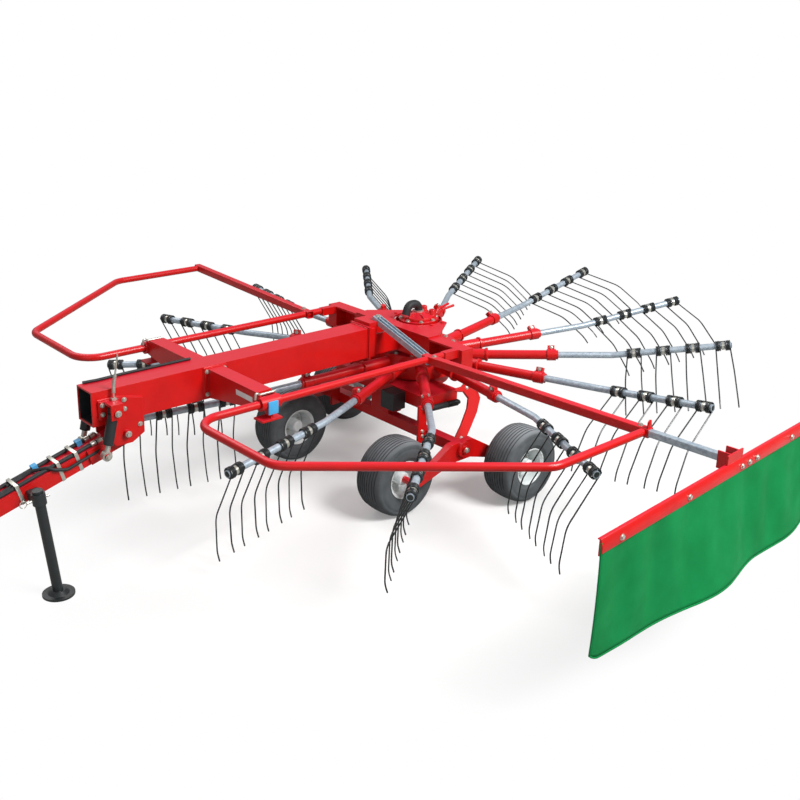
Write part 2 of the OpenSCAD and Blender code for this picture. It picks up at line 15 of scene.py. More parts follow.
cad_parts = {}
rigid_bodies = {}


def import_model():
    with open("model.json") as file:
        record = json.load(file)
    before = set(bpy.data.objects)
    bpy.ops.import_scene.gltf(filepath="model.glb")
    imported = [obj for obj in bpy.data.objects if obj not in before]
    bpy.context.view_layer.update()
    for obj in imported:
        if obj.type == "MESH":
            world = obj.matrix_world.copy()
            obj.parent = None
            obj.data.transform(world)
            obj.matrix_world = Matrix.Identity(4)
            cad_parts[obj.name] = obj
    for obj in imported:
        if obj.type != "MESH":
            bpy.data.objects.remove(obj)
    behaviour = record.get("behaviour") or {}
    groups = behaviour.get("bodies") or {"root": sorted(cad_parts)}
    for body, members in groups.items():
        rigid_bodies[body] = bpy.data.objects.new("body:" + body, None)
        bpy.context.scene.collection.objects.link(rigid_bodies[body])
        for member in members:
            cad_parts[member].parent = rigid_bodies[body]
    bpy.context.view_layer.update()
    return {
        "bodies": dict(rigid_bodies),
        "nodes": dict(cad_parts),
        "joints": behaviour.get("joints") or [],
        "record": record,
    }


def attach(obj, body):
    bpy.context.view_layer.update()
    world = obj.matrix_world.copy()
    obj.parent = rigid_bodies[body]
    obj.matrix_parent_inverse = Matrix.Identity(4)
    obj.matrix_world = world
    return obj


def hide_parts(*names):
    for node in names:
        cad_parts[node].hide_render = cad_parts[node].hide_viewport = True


LOG = logging.getLogger("rake")
MM = 0.001
EYE = Vector((3.060, 0.0, 0.439))  # towing eye, measured from the floor below the rotor
FLOOR_Z = -EYE.z
ROTOR_MM = (0, 0, 700)  # rotor hub, measured as EYE is
ROTOR_LEAN = radians(2.7)
HINGE_MM = (452, 560, 912)  # hinge of the left cross bar, measured as EYE is
BAR_SWEEP = radians(3.5)
MACHINE = Matrix.Translation(-EYE)  # frame of points that are measured as EYE is
AXIS_X = Matrix.Rotation(radians(-90), 4, "Z")  # lays a turned piece's axis along X
AXIS_Z = Matrix.Rotation(radians(90), 4, "X")  # stands a turned piece's axis along Z
Piece = bpy.types.Object
Tree = bpy.types.NodeTree
Socket = bpy.types.NodeSocket
Path = list[Vector]
Section = list[tuple[float, float]]
Seat = tuple[Vector, Vector]  # a point and its outward axis


class Slot(Enum):
    """Material slots of the record."""

    RED = "red_paint"
    GALVANISED = "galvanised"
    ZINC = "zinc"
    HOSE = "hose_rubber"
    BLACK = "black_paint"
    TYRE = "tyre_rubber"
    RIM = "rim_paint"
    CLOTH = "green_cloth"
    BLUE = "blue_plastic"


def linear(code: str) -> tuple[float, float, float, float]:
    """Turn an sRGB hex colour into linear RGBA.

    Args:
        code: six hex digits.

    Returns:
        Linear red, green, blue and an alpha of 1.
    """
    parts = [int(code[i : i + 2], 16) / 255 for i in (0, 2, 4)]
    rgb = [c / 12.92 if c <= 0.04045 else ((c + 0.055) / 1.055) ** 2.4 for c in parts]
    return (*rgb, 1.0)


def add_node(tree: Tree, kind: str, settings: dict, links: dict) -> bpy.types.Node:
    """Add a shader node with its settings and incoming links.

    Args:
        tree: node tree that takes the node.
        kind: Blender's node type, without its ShaderNode prefix.
        settings: attributes, or input names with their values.
        links: input names or numbers with the sockets that feed them.

    Returns:
        The new node.
    """
    node = tree.nodes.new(f"ShaderNode{kind}")
    for key, value in settings.items():
        if key in node.inputs:
            node.inputs[key].default_value = value
        else:
            setattr(node, key, value)
    for key, socket in links.items():
        tree.links.new(socket, node.inputs[key])
    return node


def mix(tree: Tree, share: Socket, first: str | Socket, second: str) -> Socket:
    """Mix two colours in a shader.

    Args:
        tree: node tree that takes the node.
        share: socket with the share of the second colour.
        first: sRGB hex colour, or a socket that gives one.
        second: sRGB hex colour.

    Returns:
        The socket of the mixed colour.
    """
    node = add_node(tree, "Mix", {"data_type": "RGBA"}, {"Factor": share})
    if isinstance(first, str):
        node.inputs[6].default_value = linear(first)
    else:
        tree.links.new(first, node.inputs[6])
    node.inputs[7].default_value = linear(second)
    return node.outputs[2]


@dataclass(frozen=True)
class Finish:
    """One surface finish: its colours, gloss and grain."""

    name: str
    base: str
    shade: str
    roughness: float
    metallic: float = 0.0
    coat: float = 0.0
    patch_mm: float = 120.0  # size of the soft colour patches
    patch_mix: float = 0.5
    grain_mm: float = 3.0  # size of the surface grain
    bump: float = 0.05
    spread: float = 0.08  # how far roughness wanders
    edge_mm: float = 0.0  # soft edge that paint or plating leaves on plate and tube
    gloss: float = 0.5  # specular level
    dust_and_sheen: str = ""  # colour laid on upward faces: real dust on the tyres, a painted reflection of the pale sky on the red enamel
    dust_and_sheen_mix: float = 0.0

    def make(self) -> bpy.types.Material:
        """Build the procedural material.

        Returns:
            The material, with colour patches, grain and a wandering gloss.
        """
        mat = bpy.data.materials.new(self.name)
        mat.use_nodes = True
        tree = mat.node_tree
        shader = tree.nodes["Principled BSDF"]
        place = add_node(tree, "TexCoord", {}, {}).outputs["Object"]
        patch = add_node(
            tree, "TexNoise",
            {"Scale": 1 / (self.patch_mm * MM), "Detail": 4.0, "Roughness": 0.6}, {"Vector": place},
        )
        spread = add_node(
            tree, "MapRange", {"From Min": 0.35, "From Max": 0.65, "To Max": self.patch_mix},
            {"Value": patch.outputs["Fac"]},
        )
        colour = mix(tree, spread.outputs["Result"], self.base, self.shade)
        # upward faces take a second colour: real dust on the tyres, a painted reflection of the sky on the
        # red enamel
        if self.dust_and_sheen:
            facing = add_node(tree, "SeparateXYZ", {}, {
                "Vector": add_node(tree, "NewGeometry", {}, {}).outputs["Normal"]})
            dust_and_sheen_share = add_node(
                tree, "MapRange", {"From Min": 0.55, "From Max": 1.0, "To Max": self.dust_and_sheen_mix},
                {"Value": facing.outputs["Z"]},
            )
            colour = mix(tree, dust_and_sheen_share.outputs["Result"], colour, self.dust_and_sheen)
        tree.links.new(colour, shader.inputs["Base Color"])
        grain = add_node(
            tree, "TexNoise", {"Scale": 1 / (self.grain_mm * MM), "Detail": 3.0}, {"Vector": place}
        )
        gloss = add_node(
            tree, "MapRange",
            {"To Min": self.roughness - self.spread, "To Max": self.roughness + self.spread},
            {"Value": patch.outputs["Fac"]},
        )
        tree.links.new(gloss.outputs["Result"], shader.inputs["Roughness"])
        relief = add_node(
            tree, "Bump", {"Strength": self.bump, "Distance": MM}, {"Height": grain.outputs["Fac"]}
        )
        if self.edge_mm:
            soft = add_node(tree, "Bevel", {"samples": 4, "Radius": self.edge_mm * MM}, {})
            tree.links.new(soft.outputs["Normal"], relief.inputs["Normal"])
        tree.links.new(relief.outputs["Normal"], shader.inputs["Normal"])
        for key, value in (("Specular IOR Level", self.gloss), ("Metallic", self.metallic),
                           ("Coat Weight", self.coat), ("Coat Roughness", 0.12)):
            shader.inputs[key].default_value = value
        return mat


FINISHES: dict[Slot, Finish] = {
    # enamel sprayed on steel: an even, wet-looking red; its top faces take a painted pinkish reflection of
    # the pale sky
    Slot.RED: Finish("sprayed red enamel", "C90F0D", "B00B0B", 0.36, coat=0.12, grain_mm=4, bump=0.04,
                     edge_mm=3, gloss=0.35, dust_and_sheen="D8263C", dust_and_sheen_mix=0.6),
    # hot-dip zinc: blue-grey with broad pale spangle
    Slot.GALVANISED: Finish("hot-dip galvanised steel", "BAC6D0", "8F9FAE", 0.4, metallic=0.4, patch_mm=22,
                            patch_mix=0.8, grain_mm=2, bump=0.06, edge_mm=2),
    # electroplated zinc on bolts, rods and small fittings: bright with a faint straw tint
    Slot.ZINC: Finish("electroplated zinc", "D6D5CC", "A9A79B", 0.3, metallic=0.75, patch_mm=14, bump=0.03),
    # extruded rubber hose: dull black with a fine wrapped skin
    Slot.HOSE: Finish("wrapped rubber hose", "222426", "17181A", 0.62, patch_mm=40, grain_mm=2.5, bump=0.2),
    # black lacquer on the jack, cylinders and spring steel
    Slot.BLACK: Finish("black lacquered steel", "23282A", "171B1D", 0.4, coat=0.15, patch_mm=60, bump=0.05,
                       edge_mm=2),
    # moulded natural rubber: cool charcoal, dusty on its upward faces
    Slot.TYRE: Finish("moulded tyre rubber", "575B5E", "3E4244", 0.8, patch_mm=70, grain_mm=3, bump=0.25,
                      spread=0.06, gloss=0.3, dust_and_sheen="969B9F", dust_and_sheen_mix=0.65),
    # pale silver wheel lacquer on pressed steel
    Slot.RIM: Finish("silver white wheel lacquer", "DDE2E2", "C6CCCD", 0.36, coat=0.2, patch_mm=50,
                     bump=0.03),
    # woven polyester coated with soft vinyl: green, nearly matt
    Slot.CLOTH: Finish("vinyl coated cloth", "0C7F43", "087038", 0.66, patch_mm=160, patch_mix=0.7,
                       grain_mm=4, bump=0.18, gloss=0.12),
    # injection moulded nylon clips
    Slot.BLUE: Finish("moulded blue nylon", "48A6DA", "3C94C8", 0.4, patch_mm=20, bump=0.05),
}


def row(x: float, y: float, z: float) -> Vector:
    """Give a point in the frame's axes from millimetres measured from the floor below the rotor."""
    return Vector((x, y, z)) * MM - EYE


def turned(point: Vector, angle: float, axis: str) -> Matrix:
    """Give a matrix that stands at a point and turns by an angle about one axis."""
    return Matrix.Translation(point) @ Matrix.Rotation(angle, 4, axis)


def rotor_frame() -> Matrix:
    """Give the frame of the rotor at its hub, +Z up its leaning axis."""
    return turned(row(*ROTOR_MM), ROTOR_LEAN, "Y")


def bar_frame(side: int = 1) -> Matrix:
    """Give the frame of a cross bar at its hinge, for the left (1) or the right (-1) side."""
    x, y, z = HINGE_MM
    return turned(row(x, side * y, z), side * BAR_SWEEP, "Z")


def only(obj: Piece) -> None:
    """Make one object the selected and active one."""
    bpy.ops.object.select_all(action="DESELECT")
    obj.select_set(True)
    bpy.context.view_layer.objects.active = obj


def smooth(angle: float = 40.0) -> None:
    """Shade the selected piece smooth, but not across edges sharper than an angle in degrees."""
    bpy.ops.object.shade_smooth_by_angle(angle=radians(angle))


def rounded(points: Path, radius: float, steps: int = 8) -> Path:
    """Round the corners of a run of points.

    Args:
        points: corner points.
        radius: bend radius on the centre line.
        steps: points on each bend.

    Returns:
        The run with an arc at each inner corner.
    """
    out = [points[0]]
    for a, b, c in zip(points, points[1:], points[2:]):
        u, w = (a - b).normalized(), (c - b).normalized()
        half = u.angle(w) / 2
        room = 0.49 * min((a - b).length, (c - b).length)
        cut = min(radius / tan(half), room)
        bow = cut * tan(half)
        centre = b + (u + w).normalized() * (bow / sin(half))
        start, end = b + u * cut - centre, b + w * cut - centre
        for i in range(steps + 1):
            out.append(centre + start.slerp(end, i / steps).normalized() * start.length)
    out.append(points[-1])
    return out


def tube(name: str, runs: list[Path], radius: float, sides: int = 3) -> Piece:
    """Make one mesh of round tube or wire with closed ends along runs of points.

    Args:
        name: name of the piece.
        runs: centre lines.
        radius: outer radius.
        sides: bevel resolution of the section.

    Returns:
        The mesh object, at the origin.
    """
    curve = bpy.data.curves.new(name, "CURVE")
    curve.dimensions = "3D"
    curve.bevel_depth, curve.bevel_resolution, curve.use_fill_caps = radius, sides, True
    for run in runs:
        spline = curve.splines.new("POLY")
        spline.points.add(len(run) - 1)
        for point, place in zip(spline.points, run):
            point.co = (*place, 1.0)
    only(added(name, curve))
    bpy.ops.object.convert(target="MESH")
    smooth()
    return bpy.context.view_layer.objects.active


def added(name: str, data: bpy.types.ID) -> Piece:
    """Put a new object with its data into the scene."""
    obj = bpy.data.objects.new(name, data)
    bpy.context.scene.collection.objects.link(obj)
    return obj


def from_points(name: str, points: list, edges: list, faces: list) -> Piece:
    """Make a mesh object from points and select it alone.

    Args:
        name: name of the piece.
        points: corner places.
        edges: pairs of point numbers.
        faces: rings of point numbers.

    Returns:
        The mesh object, at the origin.
    """
    mesh = bpy.data.meshes.new(name)
    mesh.from_pydata(points, edges, faces)
    obj = added(name, mesh)
    only(obj)
    return obj


def spun(name: str, profile: Section, steps: int, closed: bool = False) -> Piece:
    """Spin a section about the Y axis.

    Args:
        name: name of the piece.
        profile: (distance from the axis, place along it) points.
        steps: faces around.
        closed: whether the last point joins the first.

    Returns:
        The turned mesh, at the origin.
    """
    n = len(profile)
    edges = [(i, (i + 1) % n) for i in range(n if closed else n - 1)]
    obj = from_points(name, [(0, y, r) for r, y in profile], edges, [])
    bpy.ops.object.mode_set(mode="EDIT")
    bpy.ops.mesh.select_all(action="SELECT")
    bpy.ops.mesh.spin(steps=steps, angle=tau, center=(0, 0, 0), axis=(0, 1, 0))
    bpy.ops.mesh.select_all(action="SELECT")
    bpy.ops.mesh.remove_doubles(threshold=1e-5)
    bpy.ops.mesh.normals_make_consistent(inside=False)
    bpy.ops.object.mode_set(mode="OBJECT")
    smooth(38)
    return obj


def plate(name: str, outline: Section, thick: float, edge: float) -> Piece:
    """Cut a plate from an outline, with softened edges, standing on z = 0.

    Args:
        name: name of the piece.
        outline: corners in the plate's plane.
        thick: plate thickness.
        edge: edge radius.

    Returns:
        The plate, at the origin.
    """
    obj = from_points(name, [(x, y, 0) for x, y in outline], [], [tuple(range(len(outline)))])
    bpy.ops.object.mode_set(mode="EDIT")
    bpy.ops.mesh.select_all(action="SELECT")
    bpy.ops.mesh.extrude_region_move(TRANSFORM_OT_translate={"value": (0, 0, thick)})
    bpy.ops.mesh.select_all(action="SELECT")
    bpy.ops.mesh.normals_make_consistent(inside=False)
    bpy.ops.object.mode_set(mode="OBJECT")
    modify(obj, "BEVEL", width=edge, segments=2)
    smooth()
    return obj


def square_tube(name: str, width: float, wall: float, start: float, end: float) -> Piece:
    """Draw an open square tube along Y with rounded corners.

    Args:
        name: name of the piece.
        width: outer width in metres.
        wall: wall thickness in metres.
        start: place of one end along Y.
        end: place of the other end along Y.

    Returns:
        The tube.
    """
    def loop(half: float, soft: float) -> Section:
        """Give a square ring with rounded corners."""
        return [(sx * (half - soft) + soft * cos(a), sz * (half - soft) + soft * sin(a))
                for q, (sx, sz) in enumerate(((1, 1), (-1, 1), (-1, -1), (1, -1)))
                for a in [radians(90 * q + 22.5 * k) for k in range(5)]]

    rings = [loop(width / 2, 1.5 * wall), loop(width / 2 - wall, wall / 2)]
    around = ((0, start), (0, end), (1, end), (1, start))
    points = [Vector((x, y, z)) for ring, y in around for x, z in rings[ring]]
    n, turn = len(rings[0]), 1 if end > start else -1
    faces = [(a * n + i, a * n + (i + 1) % n, (a + 1) % 4 * n + (i + 1) % n, (a + 1) % 4 * n + i)[::-turn]
             for a in range(4) for i in range(n)]
    obj = from_points(name, points, [], faces)
    smooth()
    return obj


def modify(obj: Piece, kind: str, **settings: float) -> None:
    """Put a modifier with its settings on a piece and apply it."""
    only(obj)
    modifier = obj.modifiers.new(kind, kind)
    for key, value in settings.items():
        setattr(modifier, key, value)
    bpy.ops.object.modifier_apply(modifier=modifier.name)


def copies(template: Piece, places: list[Matrix], name: str) -> Piece:
    """Copy a template to many places and join the copies.

    Args:
        template: mesh that is modelled once; it is removed afterwards.
        places: matrices of the copies.
        name: name of the joined piece.

    Returns:
        One mesh with its place in its vertices.
    """
    made = []
    for place in places:
        twin = template.copy()
        twin.data = template.data.copy()
        twin.data.transform(place)
        bpy.context.scene.collection.objects.link(twin)
        made.append(twin)
    bpy.data.objects.remove(template)
    return merged(name, made)


def merged(name: str, pieces: list[Piece]) -> Piece:
    """Join pieces of one finish into one mesh.

    Args:
        name: name of the joined piece.
        pieces: meshes that sit at the origin.

    Returns:
        The joined piece.
    """
    joined = pieces[0]
    only(joined)
    for piece in pieces[1:]:
        piece.select_set(True)
    if len(pieces) > 1:
        bpy.ops.object.join()
    joined.name = joined.data.name = name
    return joined


def moved(obj: Piece, place: Matrix) -> Piece:
    """Write a place into a piece's mesh."""
    obj.data.transform(place)
    return obj


def helix(start: Vector, end: Vector, radius: float, turns: float, per_turn: int = 12) -> Path:
    """Give the run of a spring wound about a line.

    Args:
        start: first point of the line.
        end: last point of the line.
        radius: winding radius.
        turns: number of turns.
        per_turn: points on each turn.

    Returns:
        The wire's centre line.
    """
    frame = aim(start, end - start)
    steps = int(turns * per_turn)
    length = (end - start).length
    angles = [tau * k / per_turn for k in range(steps + 1)]
    return [frame @ Vector((radius * cos(a), radius * sin(a), length * k / steps))
            for k, a in enumerate(angles)]


def aim(point: Vector, axis: Vector) -> Matrix:
    """Give a matrix that stands +Z along an axis at a point."""
    return Matrix.Translation(point) @ axis.to_track_quat("Z", "Y").to_matrix().to_4x4()


class Workshop:
    """Holds the materials and dresses pieces with them."""

    def __init__(self) -> None:
        """Make every finish once."""
        self.paints = {slot: finish.make() for slot, finish in FINISHES.items()}

    def dress(self, obj: Piece, slot: Slot, body: str, *stands_for: str) -> Piece:
        """Paint a new piece, let it ride a body and stand for CAD nodes.

        Args:
            obj: the piece.
            slot: finish it takes.
            body: CAD body it moves with.
            stands_for: CAD nodes that it replaces.

        Returns:
            The same piece.
        """
        obj.data.materials.clear()
        obj.data.materials.append(self.paints[slot])
        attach(obj, body)
        if stands_for:
            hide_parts(*stands_for)
        LOG.info("piece %s on %s, %d faces", obj.name, body, len(obj.data.polygons))
        return obj

    def paint_nodes(self, frame: dict) -> None:
        """Give every CAD node the finish of its record slot."""
        slots = {s["node"]: Slot(s["material_slot"]) for s in frame["record"]["subparts"]}
        for name, node in frame["nodes"].items():
            node.data.materials.clear()
            node.data.materials.append(self.paints[slots[name]])


@dataclass
class Rotor:
    """Arms and spring tines, set where the cam holds each arm."""

    shop: Workshop
    count: int = 13
    start: float = -5.0  # bearing of the first arm, degrees
    rise: float = radians(1.0)
    bend: float = radians(12.5)
    bearing_at: float = 0.420  # outer end of the bearing tubes, along an arm
    joint: float = 0.876
    elbow: float = 1.213
    tine_from: float = 0.133  # first and last tine, outwards from the elbow
    tine_to: float = 0.667
    tine_count: int = 4
    tube_r: float = 0.020
    coil_r: float = 0.0283
    wire_r: float = 0.0042
    pair: float = 0.084  # between the two prongs of a tine
    turns: float = 3.25
    splay: float = 0.016  # how far a prong leans off its coil, for each metre
    prong_bend: float = 0.2
    # length of each straight of a prong, and how far it trails, degrees
    drops: tuple = ((0.318, 39.0), (0.206, 15.0), (0.050, -3.0))
    roll_low: float = -12.0  # roll of a lowered arm, degrees
    roll_lift: float = 57.0  # how much farther a lifted arm rolls
    # bearing where an arm starts to lift or to lower, and how long that lasts, degrees
    lifting: tuple = (65, 65)
    lowering: tuple = (195, 70)

    @staticmethod
    def ease(t: float) -> float:
        """Smooth step from 0 to 1."""
        u = min(1.0, max(0.0, t))
        return u * u * (3 - 2 * u)

    def roll(self, bearing: float) -> float:
        """Give the roll, in radians, that the cam sets at a bearing in degrees."""
        up, down = (self.ease((bearing % 360 - at) / span) for at, span in (self.lifting, self.lowering))
        return radians(self.roll_low + self.roll_lift * (up - down))

    def arms(self) -> list[Matrix]:
        """Give the matrix of each arm, +X outwards along its red tube."""
        rise = Matrix.Rotation(-self.rise, 4, "Y")
        bearings = [self.start + i * 360 / self.count for i in range(self.count)]
        return [rotor_frame() @ Matrix.Rotation(radians(b), 4, "Z") @ rise
                @ Matrix.Rotation(-self.roll(b), 4, "X") for b in bearings]

    def tips(self) -> list[Matrix]:
        """Give the matrix of each arm's outer tube, +X outwards from its bend."""
        bend = turned(Vector((self.elbow, 0, 0)), -self.bend, "Z")
        return [arm @ bend for arm in self.arms()]

    @property
    def tube_end(self) -> float:
        """Give the end of an outer tube, just past the last coil."""
        return self.tine_to + self.pair / 2 + 0.008

    def outer_tubes(self) -> None:
        """Bend the galvanised tubes."""
        inside, elbow = Vector((self.joint - 0.012, 0, 0)), Vector((self.elbow, 0, 0))
        reach = turned(elbow, -self.bend, "Z") @ Vector((self.tube_end, 0, 0))
        run = rounded([inside, elbow, reach], 0.16, 10)
        template = tube("arm_tube", [run], self.tube_r, 5)
        piece = copies(template, self.arms(), "bent_arm_tubes")
        self.shop.dress(piece, Slot.GALVANISED, "rotor", "arm_outer")

    def half_tine(self) -> Path:
        """Give the wire's run from a prong's tip to the middle of the double tine."""
        x = -self.pair / 2
        corner = Vector((x, self.coil_r, 0))
        prong = [corner]
        for length, angle in self.drops:
            a = radians(angle)
            corner = corner + Vector((-self.splay, -sin(a), -cos(a))) * length
            prong.append(corner)
        run = rounded(prong[::-1], self.prong_bend, 5)[:-1]
        per_turn, pitch = 12, 2.1 * self.wire_r
        for k in range(int(self.turns * per_turn) + 1):
            a = k * tau / per_turn
            y, z = self.coil_r * cos(a), self.coil_r * sin(a)
            run.append(Vector((x + pitch * k / per_turn, y, z)))
        return run

    def tines(self) -> None:
        """Wind one double tine, copy it to every arm and band each one to its tube."""
        half = self.half_tine()
        other = [Vector((-p.x, p.y, p.z)) for p in half[::-1]]
        template = tube("double_tine", [half + other], self.wire_r, 1)
        gap = (self.tine_to - self.tine_from) / (self.tine_count - 1)
        places = [tip @ Matrix.Translation((self.tine_from + k * gap, 0, 0))
                  for tip in self.tips() for k in range(self.tine_count)]
        self.shop.dress(copies(template, places, "spring_tines"), Slot.BLACK, "rotor", "tines")
        band = [(0.0198, -0.009), (0.0246, -0.009), (0.0256, -0.008)]
        band += [(r, -y) for r, y in band[::-1]]
        clips = copies(spun("clip", band, 20, True), [p @ AXIS_X for p in places], "tine_clips")
        self.shop.dress(clips, Slot.ZINC, "rotor")

    def collars(self) -> None:
        """Set a grease collar on each bearing and a plug in each tube end."""
        ring = [(0.0375, 0.0), (0.043, 0.002), (0.043, 0.014), (0.0375, 0.018), (0.0295, 0.018),
                (0.0295, 0.0)]
        at = Matrix.Translation((self.bearing_at, 0, 0)) @ AXIS_X
        seats = [arm @ at for arm in self.arms()]
        piece = copies(spun("bearing_collar", ring, 28, True), seats, "bearing_collars")
        self.shop.dress(piece, Slot.RED, "rotor")
        cap = [(0.0, 0.004), (0.012, 0.003), (0.0165, 0.0), (0.0165, -0.006)]
        at = Matrix.Translation((self.tube_end - 0.0005, 0, 0)) @ AXIS_X
        seats = [tip @ at for tip in self.tips()]
        piece = copies(spun("tube_plug", cap, 20), seats, "tube_plugs")
        self.shop.dress(piece, Slot.BLACK, "rotor")

    def build(self) -> None:
        """Build the rotor's detailed pieces."""
        self.outer_tubes()
        self.tines()
        self.collars()


@dataclass
class Fasteners:
    """Bolts and nuts on their washers, zinc or painted over."""

    shop: Workshop

    def bolt(self, size: float) -> Piece:
        """Model a hexagon head on a washer, standing on z = 0.

        Args:
            size: shank diameter in metres.

        Returns:
            The bolt template.
        """
        stack = []
        for sides, radius, depth, middle in ((20, 1.25, 0.2, 0.1), (6, 0.95, 0.7, 0.55)):
            bpy.ops.mesh.primitive_cylinder_add(
                vertices=sides, radius=size * radius, depth=size * depth, location=(0, 0, size * middle)
            )
            stack.append(bpy.context.view_layer.objects.active)
        washer, head = stack
        modify(head, "BEVEL", width=size * 0.1, segments=2)
        template = merged("bolt", [washer, head])
        bpy.ops.object.transform_apply()
        smooth(30)
        return template

    def set_on(self, name: str, body: str, size: float, seats: list[Seat], slot: Slot = Slot.ZINC) -> None:
        """Set bolts on seats.

        Args:
            name: name of the piece.
            body: CAD body that carries them.
            size: shank diameter in metres.
            seats: points with their outward axes.
            slot: finish, zinc unless they were painted with the frame.
        """
        piece = copies(self.bolt(size), [aim(p, a) for p, a in seats], name)
        self.shop.dress(piece, slot, body)

    def frame_bolts(self) -> None:
        """Bolt the front plates, the guard brackets, the undercarriage and the brace."""
        front = ((2193, 91, 906), (2193, 91, 858), (2076, 87, 908), (2076, 87, 860), (1995, 87, 760))
        bracket = ((1492, 87, 826), (1600, 87, 826), (1492, 87, 950), (1600, 87, 950))
        tower = ((342, 414, 366), (342, 414, 396), (342, 414, 545))
        pins = ((277, 721, 362.5), (2070, 105, 728), (2152, 170, 876))
        hook_tilt, hook_side, hook_drop, hook_face = radians(34.5), 0.566, 0.824, 0.014
        plates, straps, pivots, rams = [], [], [], []
        for s in (1, -1):
            outward = Vector((0, s, 0))
            for seats, places in ((plates, front), (straps, bracket + tower), (pivots, pins)):
                seats.extend((row(x, s * y, z), outward) for x, y, z in places)
            slope = Vector((0, s * cos(hook_tilt), sin(hook_tilt)))
            for x, down in ((5, 66), (196, 346)):
                foot = row(-21 + x, s * (370 + down * hook_side), 641 - down * hook_drop)
                straps.append((foot + slope * hook_face, slope))
            rams.append((row(2204, s * 148, 654), outward))
        self.set_on("plate_bolts", "frame", 0.0105, plates)
        self.set_on("strap_bolts", "frame", 0.010, straps)
        self.set_on("pivot_nuts", "frame", 0.0135, pivots)
        self.set_on("ram_nuts", "towbar", 0.0125, rams)
        head, foot, depth = row(384, 14, 997), row(380, 500, 848), 0.034
        run = (foot - head).normalized()
        out = run.cross(Vector((1, 0, 0))).normalized() * -1
        ends = [(head + run * t + out * depth, out) for t in (0.013, 0.495)]
        self.set_on("brace_bolts", "frame", 0.011, ends)

    def rotor_bolts(self) -> None:
        """Bolt the gearbox, the hub and the arm clamps."""
        lean = rotor_frame()
        up = (lean.to_3x3() @ Vector((0, 0, 1))).normalized()

        def ring(radius: float, height: float, count: int, first: float) -> list[Seat]:
            """Give seats evenly spaced about the rotor's axis."""
            angles = [radians(360 * k / count + first) for k in range(count)]
            return [(lean @ Vector((radius * cos(a), radius * sin(a), height)), up) for a in angles]

        self.set_on("gearbox_bolts", "frame", 0.012, ring(0.132, 0.196, 8, 32) + ring(0.110, 0.246, 8, 10))
        plate_rear = -0.05 - EYE.x
        held = [seat for seat in ring(0.170, 0.239, 12, 15) if seat[0].x > plate_rear]
        self.set_on("flange_bolts", "frame", 0.011, held, Slot.RED)
        self.set_on("hub_bolts", "rotor", 0.012, ring(0.222, 0.070, 13, 9))
        seats = []
        for arm in Rotor(self.shop).arms():
            for s in (1, -1):
                out = (arm.to_3x3() @ Vector((0, s, 0))).normalized()
                seats.append((arm @ Vector((0.833, s * 0.014, 0.046)), out))
        self.set_on("clamp_bolts", "rotor", 0.010, seats)

    def bar_bolts(self) -> None:
        """Bolt the curtain's rail and the cross bars."""
        place, up = bar_frame(), Vector((0, 0, 1))
        out = place.to_3x3() @ Vector((0, 1, 0))
        along = (-0.93, -0.56, -0.20, -0.125, -0.055, 0.41, 0.925)
        rail = [(place @ Vector((x, 1.885, -0.036)), out) for x in along]
        self.set_on("rail_bolts", "curtain", 0.011, rail)
        for tag, s, spots in (("l", 1, (0.04, 1.38)), ("r", -1, (0.04,))):
            tops = [(bar_frame(s) @ Vector((0, s * y, 0.023)), up) for y in spots]
            self.set_on(f"bar_bolts_{tag}", f"guard_{tag}", 0.011, tops)

    def build(self) -> None:
        """Set all the bolts that show, but for the wheel nuts."""
        self.frame_bolts()
        self.rotor_bolts()
        self.bar_bolts()


